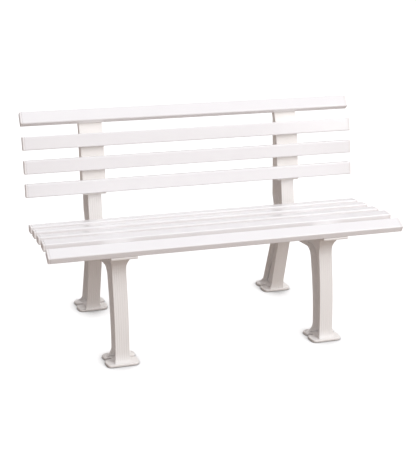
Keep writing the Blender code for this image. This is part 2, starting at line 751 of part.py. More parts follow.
def bolt_mesh(name):
    """A countersunk bolt whose flat head lies just below z = 0."""
    end = BRACKET_THICK + 2.0 * GAP + FLANGE_THICK + NUT_THICK + BOLT_STUB
    profile = [(BOLT_RADIUS * BOLT_END, -end),
               (BOLT_RADIUS, BOLT_CHAMFER - end),
               (BOLT_RADIUS, -BOLT_HEAD_HEIGHT - GAP),
               (BOLT_HEAD_RADIUS, -2.0 * GAP),
               (BOLT_HEAD_RADIUS, -GAP)]
    return turned_mesh(name, profile)


def nut_mesh(name):
    """A hexagon nut behind the upright's flange, with a round bore."""
    top = -(BRACKET_THICK + FLANGE_THICK + 3.0 * GAP)
    bm = bmesh.new()
    loops = []
    sixth = math.pi / 3.0
    for radius, hexagon in ((NUT_RADIUS, True), (BOLT_RADIUS + GAP, False)):
        for height in (top - NUT_THICK, top):
            points = []
            for side in range(ROUND):
                turn = 2.0 * math.pi * side / ROUND
                reach = radius
                if hexagon:
                    reach *= math.cos(sixth / 2.0) / math.cos(turn % sixth - sixth / 2.0)
                points.append((reach * math.cos(turn), reach * math.sin(turn), height))
            loops.append(ring(bm, points))
    outer_low, outer_high, inner_low, inner_high = loops
    skin(bm, outer_low, outer_high)
    skin(bm, inner_low, inner_high)
    skin(bm, outer_low, inner_low)
    skin(bm, outer_high, inner_high)
    return finish_mesh(name, bm)


def add_screws(places, screw_x, grip):
    """One screw for each crossing of a slat and a frame."""
    mesh = screw_mesh("screw_%d" % round(grip * 10000.0), grip)
    for place in places:
        for side, sign in SIDES:
            matrix = rest_matrix(place, sign * screw_x)
            add_object("%s_screw_%s" % (place["name"], side), mesh, ZINC, matrix)


def add_bolts():
    """Two bolts with nuts join each bracket to its upright."""
    bolt = bolt_mesh("bracket_bolt")
    nut = nut_mesh("bracket_nut")
    for side, sign in SIDES:
        for number, place in enumerate(BOLTED, 1):
            matrix = rest_matrix(place, sign * BOLT_X)
            add_object("bracket_bolt_%s_%d" % (side, number), bolt, ZINC, matrix)
            add_object("bracket_nut_%s_%d" % (side, number), nut, ZINC, matrix)


# ================================================================ the bench
CAP = cap_mesh("end_cap")
for slat_place in SEAT:
    add_slat(slat_place, SEAT_SCREW_X)
    add_caps(slat_place, CAP)
for slat_place in BACK:
    add_slat(slat_place, BACK_SCREW_X)
    add_caps(slat_place, CAP)
for side_name, side_sign in SIDES:
    add_frame(side_name, side_sign)
    add_bracket(side_name, side_sign)
add_screws(SEAT, SEAT_SCREW_X, FLANGE_THICK)
add_screws(BACK, BACK_SCREW_X, BRACKET_THICK)
add_bolts()
bpy.context.view_layer.update()
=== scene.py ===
# %% [markdown]
# A white garden bench, made of nine hollow plastic slats screwed to two moulded side frames.
# The frame file holds every solid at its real size. Here each one gets the surface of the real
# piece: rounded edges, seams, flutes and the plastics and steel that they are made of.

# %% Load the bench and keep its box
import math

import bmesh
import bpy
from mathutils import Matrix, Vector


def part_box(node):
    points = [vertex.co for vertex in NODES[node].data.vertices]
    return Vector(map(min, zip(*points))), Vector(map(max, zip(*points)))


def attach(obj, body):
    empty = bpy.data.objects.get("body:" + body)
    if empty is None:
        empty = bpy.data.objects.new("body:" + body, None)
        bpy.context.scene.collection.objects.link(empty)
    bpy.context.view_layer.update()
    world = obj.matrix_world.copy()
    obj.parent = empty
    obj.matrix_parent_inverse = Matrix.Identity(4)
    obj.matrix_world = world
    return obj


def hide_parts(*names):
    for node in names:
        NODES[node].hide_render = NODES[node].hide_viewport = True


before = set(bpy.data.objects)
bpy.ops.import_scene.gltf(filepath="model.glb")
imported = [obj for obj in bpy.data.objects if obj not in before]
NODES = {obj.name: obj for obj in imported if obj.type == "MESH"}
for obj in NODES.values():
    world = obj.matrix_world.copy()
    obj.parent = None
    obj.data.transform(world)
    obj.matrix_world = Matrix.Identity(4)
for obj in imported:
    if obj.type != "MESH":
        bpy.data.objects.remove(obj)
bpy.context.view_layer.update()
SIDES = ("left", "right")
SLATS = ["seat_slat_%d" % number for number in (1, 2, 3, 4, 5)]
SLATS += ["back_slat_%d" % number for number in (1, 2, 3, 4)]

# %% [markdown]
# The camera stands in front and to the left, a little above the back, and looks down at the seat.
# Its turn, tilt and roll are angles, and its lens is a short telephoto, so the slats stay nearly
# parallel.

# %% Camera
MM = 0.001
CAMERA_PLACE = Vector((-1.118, -3.521, 1.620))
CAMERA_TURN = math.radians(-17.76)
CAMERA_TILT = math.radians(-18.72)
CAMERA_ROLL = math.radians(0.85)
LENS_MM = 84.8
SENSOR_MM = 36.0

camera_data = bpy.data.cameras.new("camera")
camera_data.sensor_width = SENSOR_MM
camera_data.lens = LENS_MM
camera = bpy.data.objects.new("camera", camera_data)
bpy.context.scene.collection.objects.link(camera)
aim = Matrix.Rotation(CAMERA_TURN, 4, "Z") @ Matrix.Rotation(math.pi / 2.0 + CAMERA_TILT, 4, "X")
camera.matrix_world = Matrix.Translation(CAMERA_PLACE) @ aim @ Matrix.Rotation(CAMERA_ROLL, 4, "Z")
bpy.context.scene.camera = camera
bpy.context.scene.view_settings.view_transform = "Standard"
print("camera at", tuple(CAMERA_PLACE), "lens", LENS_MM)

# %% [markdown]
# Colours are written as the sRGB hex values a paint or plastics chart gives, and one function
# turns them into the linear values that the shader needs. The other small functions each add one
# node, so that a material reads as a list of what it is made of.

# %% Helpers for colours and nodes
def linear(hex_code):
    """An sRGB hex value as linear red, green, blue and alpha."""
    channels = []
    for start in (0, 2, 4):
        value = int(hex_code[start:start + 2], 16) / 255.0
        channels.append(value / 12.92 if value <= 0.04045 else ((value + 0.055) / 1.055) ** 2.4)
    return (*channels, 1.0)


def add_node(tree, kind, inputs=None, **settings):
    """A new node; an input is a value or another node's output socket."""
    node = tree.nodes.new(kind)
    for name, value in settings.items():
        setattr(node, name, value)
    for key, value in (inputs or {}).items():
        if isinstance(value, bpy.types.NodeSocket):
            tree.links.new(value, node.inputs[key])
        else:
            node.inputs[key].default_value = value
    return node


def calc(tree, operation, *values):
    """The result of one sum on numbers or sockets."""
    inputs = dict(enumerate(values))
    return add_node(tree, "ShaderNodeMath", inputs, operation=operation).outputs[0]


def ranged(tree, value, source=(0.0, 1.0), target=(0.0, 1.0)):
    """A value moved from one range to another."""
    inputs = {"Value": value, "From Min": source[0], "From Max": source[1],
              "To Min": target[0], "To Max": target[1]}
    return add_node(tree, "ShaderNodeMapRange", inputs).outputs[0]


def blend(tree, share, first, second):
    """A colour between two colours."""
    inputs = {0: share, 6: first, 7: second}
    return add_node(tree, "ShaderNodeMix", inputs, data_type="RGBA").outputs[2]


def noise(tree, place, scale, detail):
    """Grey noise at a scale."""
    inputs = {"Vector": place, "Scale": scale, "Detail": detail}
    return add_node(tree, "ShaderNodeTexNoise", inputs).outputs[0]


def bump(tree, height, strength, distance, below=None):
    """A normal bent by a height, on top of another normal if one is given."""
    inputs = {"Height": height, "Strength": strength, "Distance": distance}
    if below is not None:
        inputs["Normal"] = below
    return add_node(tree, "ShaderNodeBump", inputs).outputs[0]


def new_material(name):
    """An empty node material with its output, as (material, tree, output node)."""
    material = bpy.data.materials.new(name)
    material.use_nodes = True
    tree = material.node_tree
    tree.nodes.clear()
    return material, tree, add_node(tree, "ShaderNodeOutputMaterial")


def object_place(tree):
    """The place of a shaded point in metres."""
    return add_node(tree, "ShaderNodeTexCoord").outputs["Object"]


print("white as linear:", linear("FFFFFF"))

# %% [markdown]
# The slats are rigid PVC pushed through a die. That leaves a glossy skin with very faint lines
# along the length, where the die was not quite smooth, and slow waves that only show in a
# reflection. The lines are stretched noise: coarse along X and a fraction of a millimetre across.

# %% Extruded PVC of the slats
DIE_LINE = 1.2 * MM
DIE_LINE_HEIGHT = 0.03 * MM
WAVE = 60.0 * MM
WAVE_HEIGHT = 0.25 * MM
ALONG_SCALE = 2.0               # how coarse the lines are along the slat, per metre
NOISE_MIDDLE = (0.3, 0.7)       # noise seldom leaves this range


def extruded_pvc(name, light_hex, shade_hex, roughness):
    """Glossy white PVC with die lines along X."""
    material, tree, output = new_material(name)
    place = object_place(tree)
    stretch = add_node(tree, "ShaderNodeMapping",
                       {"Vector": place, "Scale": (ALONG_SCALE, 1.0 / DIE_LINE, 1.0 / DIE_LINE)})
    lines = noise(tree, stretch.outputs[0], scale=1.0, detail=2.0)
    waves = noise(tree, place, scale=1.0 / WAVE, detail=1.0)
    gloss = ranged(tree, lines, NOISE_MIDDLE, (roughness - 0.04, roughness + 0.05))
    fine = bump(tree, lines, strength=0.35, distance=DIE_LINE_HEIGHT)
    slow = bump(tree, waves, strength=0.5, distance=WAVE_HEIGHT, below=fine)
    shader = add_node(tree, "ShaderNodeBsdfPrincipled", {
        "Base Color": blend(tree, waves, linear(light_hex), linear(shade_hex)),
        "IOR": 1.53,
        "Roughness": gloss,
        "Normal": slow})
    tree.links.new(shader.outputs[0], output.inputs["Surface"])
    return material


SLAT_PVC = extruded_pvc("extruded_pvc_white", "F8F7F7", "F5F3F4", roughness=0.17)
print("made", SLAT_PVC.name)

# %% [markdown]
# The caps are moulded from a slightly warmer PVC and have the fine even grain of a spark-eroded
# mould. The side frames and brackets are moulded polypropylene: satin, a touch warmer still, with
# the same kind of grain, only coarser.

# %% Moulded plastics of the caps, brackets and frames
FLOW_SCALE = 14.0               # slow clouds left by the flow of the plastic, per metre


def moulded_plastic(name, light_hex, shade_hex, roughness, grain_size, grain_height):
    """Satin plastic with the grain of its mould."""
    material, tree, output = new_material(name)
    place = object_place(tree)
    grain = noise(tree, place, scale=1.0 / grain_size, detail=3.0)
    flow = noise(tree, place, scale=FLOW_SCALE, detail=2.0)
    shader = add_node(tree, "ShaderNodeBsdfPrincipled", {
        "Base Color": blend(tree, flow, linear(light_hex), linear(shade_hex)),
        "IOR": 1.49,
        "Roughness": ranged(tree, flow, NOISE_MIDDLE, (roughness - 0.05, roughness + 0.06)),
        "Normal": bump(tree, grain, strength=0.5, distance=grain_height)})
    tree.links.new(shader.outputs[0], output.inputs["Surface"])
    return material


CAP_PVC = moulded_plastic("moulded_pvc_cap", "F7F4F3", "F4F1F0",
                          roughness=0.30, grain_size=0.8 * MM, grain_height=0.02 * MM)
BRACKET_PP = moulded_plastic("moulded_polypropylene_bracket", "F8F5F1", "F5F1ED",
                             roughness=0.36, grain_size=1.0 * MM, grain_height=0.03 * MM)
FRAME_PP = moulded_plastic("moulded_polypropylene_frame", "F3F0ED", "EEEBE8",
                           roughness=0.40, grain_size=1.2 * MM, grain_height=0.04 * MM)
print("made", CAP_PVC.name, BRACKET_PP.name, FRAME_PP.name)

# %% [markdown]
# Screws, bolts and nuts are steel with a bright zinc plating: a metal, slightly rough, with the
# cloudy look that comes from the crystals of the zinc.

# %% Zinc-plated steel
ZINC_CLOUD = 1.5 * MM


def zinc_plated_steel(name):
    """Bright zinc with a faint cloudiness."""
    material, tree, output = new_material(name)
    clouds = noise(tree, object_place(tree), scale=1.0 / ZINC_CLOUD, detail=3.0)
    shader = add_node(tree, "ShaderNodeBsdfPrincipled", {
        "Base Color": blend(tree, clouds, linear("CFCFCB"), linear("B4B5B3")),
        "Metallic": 1.0,
        "Roughness": ranged(tree, clouds, target=(0.24, 0.44))})
    tree.links.new(shader.outputs[0], output.inputs["Surface"])
    return material


ZINC = zinc_plated_steel("zinc_plated_steel")
print("made", ZINC.name)

# %% [markdown]
# Each slat lies at its own angle. That angle, and where the slat's middle is, can be read from its
# solid: the widest face tells which way the slat looks, and the reach across and along that
# direction gives its width, thickness and centre.

# %% Where each slat lies
def slat_place(name):
    """Centre, angle, width, thickness and end of one slat, read from its solid."""
    mesh = NODES[name].data
    widest = max(mesh.polygons, key=lambda face: face.area)
    normal = widest.normal.copy()
    sitter_side = normal.z if name.startswith("seat") else -normal.y
    if sitter_side < 0.0:
        normal.negate()
    angle = math.atan2(-normal.y, normal.z)
    turn = Matrix.Rotation(-angle, 4, "X")
    points = [turn @ vertex.co for vertex in mesh.vertices]
    low = Vector(min(point[axis] for point in points) for axis in range(3))
    high = Vector(max(point[axis] for point in points) for axis in range(3))
    centre = turn.inverted() @ ((low + high) / 2.0)
    return {"matrix": Matrix.Translation(centre) @ Matrix.Rotation(angle, 4, "X"),
            "normal": normal, "width": high.y - low.y, "thick": high.z - low.z, "half": high.x}


PLACES = {name: slat_place(name) for name in SLATS}
for name, place in PLACES.items():
    print(name, "width %.1f thick %.1f mm" % (place["width"] / MM, place["thick"] / MM))

# %% [markdown]
# A slat is one profile pushed along a straight line, so Geometry Nodes can make it the way the
# factory does. Two rounded rectangles, one inside the other, are filled to a ring, and the ring is
# extruded. The flipped copy of the ring closes the near end.

# %% Geometry Nodes tree of the extrusion
EDGE_RADIUS = 4.5 * MM
WALL = 2.5 * MM
OUTSIDE = (0.0, 6)              # walls inward from the outside, and steps in each corner
INSIDE = (1.0, 3)
WELD = 0.01 * MM
QUARTER = math.pi / 2.0


def new_tree(name, inputs):
    """A Geometry Nodes tree with a geometry output and the named inputs."""
    tree = bpy.data.node_groups.new(name, "GeometryNodeTree")
    tree.interface.new_socket("Geometry", in_out="INPUT", socket_type="NodeSocketGeometry")
    for label, kind in inputs:
        tree.interface.new_socket(label, in_out="INPUT", socket_type="NodeSocket" + kind)
    tree.interface.new_socket("Geometry", in_out="OUTPUT", socket_type="NodeSocketGeometry")
    return tree, add_node(tree, "NodeGroupInput"), add_node(tree, "NodeGroupOutput")


def corner_ring(tree, given, walls, steps):
    """A rounded rectangle that lies some walls inside the slat's outline."""
    shrink = calc(tree, "MULTIPLY", given["Wall"], walls)
    sides = {}
    for socket, label in (("Width", "Width"), ("Height", "Thickness")):
        sides[socket] = calc(tree, "SUBTRACT", given[label], calc(tree, "MULTIPLY", shrink, 2.0))
    box = add_node(tree, "GeometryNodeCurvePrimitiveQuadrilateral", sides)
    radius = calc(tree, "SUBTRACT", given["Edge radius"], shrink)
    ring = add_node(tree, "GeometryNodeFilletCurve",
                    {"Curve": box.outputs[0], "Count": steps, "Radius": radius}, mode="POLY")
    return ring.outputs[0]


def joined(tree, *parts):
    """Several geometries as one."""
    join = add_node(tree, "GeometryNodeJoinGeometry")
    for part in parts:
        tree.links.new(part, join.inputs[0])
    return join.outputs[0]


def moved(tree, geometry, **how):
    """A geometry moved or turned."""
    inputs = {0: geometry}
    inputs.update({label.title(): value for label, value in how.items()})
    return add_node(tree, "GeometryNodeTransform", inputs).outputs[0]


def upward(tree, height):
    """A vector along Z."""
    return add_node(tree, "ShaderNodeCombineXYZ", {"Z": height}).outputs[0]


def slat_tree():
    """Ring of two rounded rectangles, extruded along Z and laid along X."""
    sizes = [(label, "Float") for label in ("Length", "Width", "Thickness", "Edge radius", "Wall")]
    tree, given_node, result = new_tree("slat_extrusion", sizes + [("Material", "Material")])
    given = given_node.outputs
    rings = [corner_ring(tree, given, walls, steps) for walls, steps in (OUTSIDE, INSIDE)]
    face = add_node(tree, "GeometryNodeFillCurve", {"Curve": joined(tree, *rings)}).outputs[0]
    push = add_node(tree, "GeometryNodeExtrudeMesh", {
        "Mesh": face, "Offset": upward(tree, given["Length"]), "Individual": False})
    near = add_node(tree, "GeometryNodeFlipFaces", {0: face})
    closed = joined(tree, push.outputs[0], near.outputs[0])
    welded = add_node(tree, "GeometryNodeMergeByDistance", {0: closed, "Distance": WELD})
    back = upward(tree, calc(tree, "MULTIPLY", given["Length"], -0.5))
    centred = moved(tree, welded.outputs[0], translation=back)
    upright = moved(tree, centred, rotation=(0.0, 0.0, QUARTER))
    laid = moved(tree, upright, rotation=(0.0, QUARTER, 0.0))
    smooth = add_node(tree, "GeometryNodeSetShadeSmooth", {0: laid})
    painted = add_node(tree, "GeometryNodeSetMaterial",
                       {0: smooth.outputs[0], "Material": given["Material"]})
    tree.links.new(painted.outputs[0], result.inputs[0])
    return tree


def nodes_mesh(tree, values, source=None):
    """The plain mesh that a tree makes from the named input values."""
    holder = bpy.data.objects.new("holder", source or bpy.data.meshes.new("holder"))
    bpy.context.scene.collection.objects.link(holder)
    modifier = holder.modifiers.new("nodes", "NODES")
    modifier.node_group = tree
    for item in tree.interface.items_tree:
        if item.in_out == "INPUT" and item.name in values:
            modifier[item.identifier] = values[item.name]
    depsgraph = bpy.context.evaluated_depsgraph_get()
    mesh = bpy.data.meshes.new_from_object(holder.evaluated_get(depsgraph), depsgraph=depsgraph)
    bpy.data.objects.remove(holder)
    return mesh


SLAT_TREE = slat_tree()
print("tree nodes:", len(SLAT_TREE.nodes))

# %% [markdown]
# A finished piece is an object at the origin whose mesh already lies in its place. It takes over
# the CAD nodes that it stands for, and weighted normals keep the broad faces flat while the
# rounded edges stay soft.

# %% Slats
SLAT_SHARP = math.radians(40.0)


def finished(name, mesh, replaced, matrix=Matrix.Identity(4)):
    """An object for a piece, riding on the bench and standing for its nodes."""
    mesh.transform(matrix)
    mesh.shade_smooth()
    piece = bpy.data.objects.new(name, mesh)
    bpy.context.scene.collection.objects.link(piece)
    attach(piece, "root")
    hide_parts(*replaced)
    return piece


def even_normals(piece):
    """Weighted normals, so that flat faces look flat beside small roundings."""
    modifier = piece.modifiers.new("weighted normals", "WEIGHTED_NORMAL")
    modifier.keep_sharp = True
    modifier.weight = 100


for name, place in PLACES.items():
    values = {"Length": 2.0 * place["half"], "Width": place["width"], "Thickness": place["thick"],
              "Edge radius": EDGE_RADIUS, "Wall": WALL, "Material": SLAT_PVC}
    mesh = nodes_mesh(SLAT_TREE, values)
    mesh.set_sharp_from_angle(angle=SLAT_SHARP)
    slat = finished(name + "_extrusion", mesh, [name], place["matrix"])
    even_normals(slat)
print("slat faces:", len(mesh.polygons))

# %% [markdown]
# A cap closes each slat. Its rim has the slat's section, a tiny chamfer at the seam, a quarter
# round towards the end and a barely crowned end face. It is built as a stack of sections, each a
# rounded rectangle that is inset a little more than the last.

# %% End caps
SEAM_CHAMFER = 0.9 * MM
CAP_ROUND = 2.6 * MM
ROUND_STEPS = 5
CROWN = 0.35 * MM
CROWN_WIDTH = 6.0 * MM
PLUG_PLAY = 0.3 * MM
PLUG_CHAMFER = 1.0 * MM
LEAST_RADIUS = 0.6 * MM
CORNER_STEPS = 6
CAP_SHARP = math.radians(50.0)


def section(width, thick, inset):
    """Points of a rounded rectangle inset from the slat's outline, anticlockwise in YZ."""
    radius = max(EDGE_RADIUS - inset, LEAST_RADIUS)
    points = []
    for corner, (side, up) in enumerate(((1, 1), (-1, 1), (-1, -1), (1, -1))):
        centre_y = side * (width / 2.0 - inset - radius)
        centre_z = up * (thick / 2.0 - inset - radius)
        for step in range(CORNER_STEPS + 1):
            turn = QUARTER * (corner + step / CORNER_STEPS)
            points.append((centre_y + radius * math.cos(turn), centre_z + radius * math.sin(turn)))
    return points


def cap_stations(seam, end, plug_start):
    """(x, inset) of each section, from the plug's inner end to the end face."""
    inside = WALL + PLUG_PLAY
    stations = [(plug_start, inside + PLUG_CHAMFER), (plug_start + PLUG_CHAMFER, inside),
                (seam, inside), (seam, SEAM_CHAMFER), (seam + SEAM_CHAMFER, 0.0)]
    for step in range(ROUND_STEPS + 1):
        turn = QUARTER * step / ROUND_STEPS
        x = end - CROWN - CAP_ROUND * (1.0 - math.sin(turn))
        stations.append((x, CAP_ROUND * (1.0 - math.cos(turn))))
    stations.append((end, CAP_ROUND + CROWN_WIDTH))
    return stations


def cap_mesh(place, seam, end, plug_start, sign):
    """One cap's mesh; sign -1 mirrors it to the left end."""
    bm = bmesh.new()
    rings = []
    for x, inset in cap_stations(seam, end, plug_start):
        points = section(place["width"], place["thick"], inset)
        rings.append([bm.verts.new((sign * x, y, z)) for y, z in points])
    for lower, upper in zip(rings, rings[1:]):
        for index in range(len(lower)):
            after = (index + 1) % len(lower)
            bm.faces.new((lower[index], lower[after], upper[after], upper[index]))
    bm.faces.new(rings[0])
    bm.faces.new(rings[-1])
    bmesh.ops.recalc_face_normals(bm, faces=bm.faces)
    mesh = bpy.data.meshes.new("cap")
    bm.to_mesh(mesh)
    bm.free()
    mesh.materials.append(CAP_PVC)
    return mesh


for name, place in PLACES.items():
    for side, sign in (("left", -1.0), ("right", 1.0)):
        node = "%s_cap_%s" % (name, side)
        reach = [abs(corner.x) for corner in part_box(node)]
        seam = place["half"] + PLUG_PLAY
        mesh = cap_mesh(place, seam, max(reach), min(reach), sign)
        mesh.set_sharp_from_angle(angle=CAP_SHARP)
        cap = finished(node + "_moulding", mesh, [node], place["matrix"])
        even_normals(cap)
print("cap faces:", len(mesh.polygons))

# %% [markdown]
# Moulded frames have no sharp edge anywhere: a mould is rounded inside and out so that the plastic
# flows. The frame's solid is cleaned to large flat faces, and a Bevel then rounds every edge that
# turns sharply. Where an edge is short, as round a slot or a screw hole, there is no room for the
# full radius, so each edge carries a weight that says how much of the radius it gets.

# %% Rounded mouldings
FRAME_ROUND = 2.0 * MM
BRACKET_ROUND = 1.5 * MM
NUT_ROUND = 0.5 * MM
ROUND_SEGMENTS = 3
SHARP_EDGE = math.radians(35.0)
ROOM_SHARE = 0.42               # share of the shortest neighbouring edge that a radius may use
FOOT_TOP = 9.0 * MM             # height of the foot plates' upper face
LEVEL = 0.3 * MM
WELD_SOLID = 0.02 * MM
FLAT = math.radians(1.0)


def on_foot_top(edge):
    """True for the line where a leg runs into the top of its foot plate."""
    return not edge.is_convex and all(abs(vertex.co.z - FOOT_TOP) < LEVEL for vertex in edge.verts)


def weigh_edges(bm, radius):
    """Bevel weights: full on long sharp edges, less where a neighbouring edge is short."""
    weights = bm.edges.layers.float.new("bevel_weight_edge")
    for edge in bm.edges:
        if len(edge.link_faces) != 2 or edge.calc_face_angle() < SHARP_EDGE or on_foot_top(edge):
            continue
        room = min(near.calc_length() for vertex in edge.verts for near in vertex.link_edges)
        edge[weights] = min(1.0, ROOM_SHARE * room / radius)


def rounded_solid(node, material, radius):
    """A copy of a solid with its sharp edges rounded."""
    bm = bmesh.new()
    bm.from_mesh(NODES[node].data)
    bmesh.ops.remove_doubles(bm, verts=bm.verts, dist=WELD_SOLID)
    bmesh.ops.dissolve_limit(bm, angle_limit=FLAT, verts=bm.verts, edges=bm.edges)
    weigh_edges(bm, radius)
    mesh = bpy.data.meshes.new(node)
    bm.to_mesh(mesh)
    bm.free()
    mesh.materials.clear()
    mesh.materials.append(material)
    piece = finished(node + "_rounded", mesh, [node])
    bevel = piece.modifiers.new("rounded edges", "BEVEL")
    bevel.width = radius
    bevel.segments = ROUND_SEGMENTS
    bevel.limit_method = "WEIGHT"
    bevel.use_clamp_overlap = False
    return piece


print("radii of frame, bracket and nut:", FRAME_ROUND / MM, BRACKET_ROUND / MM, NUT_ROUND / MM, "mm")

# %% [markdown]
# The flanges of the side frames carry six shallow flutes that run with the leg. They are cut once
# the edges are rounded: every broad face that looks ahead or back is split into narrow strips, and
# the new points sink into the face by a wave across its width. The wave fades out where the face
# turns away from the front, so the flutes run out softly into the foot and under the seat.

# %% Side frames with their flutes, and back brackets
FLUTES = 6
FLUTE_STEPS = 6                 # strips in one flute
FLUTE_DEPTH = 0.45 * MM
FLUTED_HALF = 23.0 * MM         # half the width that the flutes cover
WIDEST_FLUTED = 31.0 * MM       # half the width of the widest face with flutes
FLUTE_FADE = (0.70, 0.95)       # how far ahead a face looks where the flutes start and are full
SPLIT = 0.001 * MM


def is_broad(face, middle):
    """True for a flange face that looks ahead or back and spans the frame's middle."""
    across = [vertex.co.x - middle for vertex in face.verts]
    spans = min(across) < -FLUTED_HALF / 2.0 and max(across) > FLUTED_HALF / 2.0
    return spans and max(across) < WIDEST_FLUTED and abs(face.normal.y) > FLUTE_FADE[0]


def split_strips(bm, middle):
    """Cuts the broad faces into strips along X; returns the strips."""
    faces = [face for face in bm.faces if is_broad(face, middle)]
    chosen = set(faces)
    edges = [edge for edge in bm.edges if not chosen.isdisjoint(edge.link_faces)]
    corners = [vertex for vertex in bm.verts if not chosen.isdisjoint(vertex.link_faces)]
    cut = faces + edges + corners
    strips = FLUTES * FLUTE_STEPS
    for step in range(strips + 1):
        x = middle + FLUTED_HALF * (2.0 * step / strips - 1.0)
        result = bmesh.ops.bisect_plane(bm, geom=cut, dist=SPLIT, plane_co=(x, 0.0, 0.0),
                                        plane_no=(1.0, 0.0, 0.0))
        cut = result["geom"]
    return {item for item in cut if isinstance(item, bmesh.types.BMFace)}


def cut_flutes(mesh, middle):
    """Shallow grooves down the broad faces of a frame's flanges; returns how many points moved."""
    bm = bmesh.new()
    bm.from_mesh(mesh)
    strips = split_strips(bm, middle)
    bm.normal_update()
    moves = []
    for vertex in bm.verts:
        across = (vertex.co.x - middle + FLUTED_HALF) / (2.0 * FLUTED_HALF)
        if not 0.0 < across < 1.0 or any(face not in strips for face in vertex.link_faces):
            continue
        ahead = (abs(vertex.normal.y) - FLUTE_FADE[0]) / (FLUTE_FADE[1] - FLUTE_FADE[0])
        wave = (1.0 - math.cos(2.0 * math.pi * FLUTES * across)) / 2.0
        depth = FLUTE_DEPTH * wave * min(max(ahead, 0.0), 1.0)
        moves.append((vertex, -vertex.normal * depth))
    for vertex, move in moves:
        vertex.co += move
    bm.to_mesh(mesh)
    bm.free()
    return len(moves)


def settle(piece):
    """Turns a piece's modifiers into its mesh."""
    depsgraph = bpy.context.evaluated_depsgraph_get()
    solid = piece.evaluated_get(depsgraph)
    piece.data = bpy.data.meshes.new_from_object(solid, depsgraph=depsgraph)
    piece.modifiers.clear()


for side in SIDES:
    side_frame = rounded_solid("side_frame_" + side, FRAME_PP, FRAME_ROUND)
    settle(side_frame)
    low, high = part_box("side_frame_" + side)
    moved_points = cut_flutes(side_frame.data, (low.x + high.x) / 2.0)
    even_normals(side_frame)
    bracket = rounded_solid("back_bracket_" + side, BRACKET_PP, BRACKET_ROUND)
    even_normals(bracket)
    print(side_frame.name, len(side_frame.data.polygons), "points in flutes:", moved_points)

# %% [markdown]
# Eighteen pan-head screws hold the slats, two to a slat, all alike. One screw is built in a
# Geometry Nodes tree: a line whose radius swells and shrinks gives the domed head, a thinner line
# gives the shank, and two crossed blocks cut the driver recess. The tree then puts a copy on each
# point of a point cloud and turns it along a direction that is stored with the point.

# %% Geometry Nodes tree of the screws
BAR_SIDES = 20
DOME_STEPS = 9
DOME_POWER = 2.6                # how late the head's dome turns down
DOME_DROP = -0.42               # share of the radius lost at the head's top
SHANK_START = 0.7               # share of the head's height where the shank begins


def swept_line(tree, start, end, steps, radius):
    """A round bar along Z whose radius may change along it."""
    line = add_node(tree, "GeometryNodeCurvePrimitiveLine", {"Start": start, "End": end})
    points = add_node(tree, "GeometryNodeResampleCurve", {"Curve": line.outputs[0], "Count": steps})
    shaped = add_node(tree, "GeometryNodeSetCurveRadius",
                      {"Curve": points.outputs[0], "Radius": radius})
    circle = add_node(tree, "GeometryNodeCurvePrimitiveCircle",
                      {"Resolution": BAR_SIDES, "Radius": 1.0})
    bar = add_node(tree, "GeometryNodeCurveToMesh", {
        "Curve": shaped.outputs[0], "Profile Curve": circle.outputs[0],
        "Fill Caps": True, "Scale": radius})
    return bar.outputs[0]


def screw_head(tree, given):
    """The domed head with a crossed recess; its top is at the start of the bar."""
    along = add_node(tree, "GeometryNodeSplineParameter").outputs["Factor"]
    rest = calc(tree, "POWER", calc(tree, "SUBTRACT", 1.0, along), DOME_POWER)
    dome = calc(tree, "MULTIPLY_ADD", rest, DOME_DROP, 1.0)
    radius = calc(tree, "MULTIPLY", dome, given["Head radius"])
    head = swept_line(tree, (0.0, 0.0, 0.0), upward(tree, given["Head height"]), DOME_STEPS, radius)
    size = add_node(tree, "ShaderNodeCombineXYZ", {
        "X": given["Head radius"], "Y": given["Recess width"],
        "Z": calc(tree, "MULTIPLY", given["Recess depth"], 2.0)})
    block = add_node(tree, "GeometryNodeMeshCube", {"Size": size.outputs[0]}).outputs[0]
    cut = add_node(tree, "GeometryNodeMeshBoolean", {0: head}, operation="DIFFERENCE")
    for turn in (0.0, QUARTER):
        tree.links.new(moved(tree, block, rotation=(0.0, 0.0, turn)), cut.inputs["Mesh 2"])
    return cut.outputs[0]


def screw_tree():
    """One pan-head screw, copied to every point of the mesh that the tree is given."""
    labels = ("Head radius", "Head height", "Shank radius", "Shank length", "Recess width",
              "Recess depth")
    sizes = [(label, "Float") for label in labels]
    tree, given_node, result = new_tree("slat_screws", sizes + [("Material", "Material")])
    given = given_node.outputs
    start = upward(tree, calc(tree, "MULTIPLY", given["Head height"], SHANK_START))
    end = upward(tree, calc(tree, "ADD", given["Head height"], given["Shank length"]))
    shank = swept_line(tree, start, end, 2, given["Shank radius"])
    screw = joined(tree, screw_head(tree, given), shank)
    facing = add_node(tree, "GeometryNodeInputNamedAttribute", {"Name": "facing"},
                      data_type="FLOAT_VECTOR")
    turned = add_node(tree, "FunctionNodeAlignRotationToVector", {"Vector": facing.outputs[0]},
                      axis="Z")
    copies = add_node(tree, "GeometryNodeInstanceOnPoints", {
        "Points": given[0], "Instance": screw, "Rotation": turned.outputs[0]})
    real = add_node(tree, "GeometryNodeRealizeInstances", {0: copies.outputs[0]})
    painted = add_node(tree, "GeometryNodeSetMaterial",
                       {0: real.outputs[0], "Material": given["Material"]})
    tree.links.new(painted.outputs[0], result.inputs[0])
    return tree


SCREW_TREE = screw_tree()
print("tree nodes:", len(SCREW_TREE.nodes))

# %% [markdown]
# Where a screw sits is read from its solid: the slat's normal is its axis, and the solid's lowest
# point along that axis is the top of the head.

# %% Screws
SCREWS = [name for name in NODES if "_screw_" in name]
HEAD_HEIGHT = 3.0 * MM
SHANK_RADIUS = 2.3 * MM
RECESS_WIDTH = 1.3 * MM
RECESS_DEPTH = 1.6 * MM


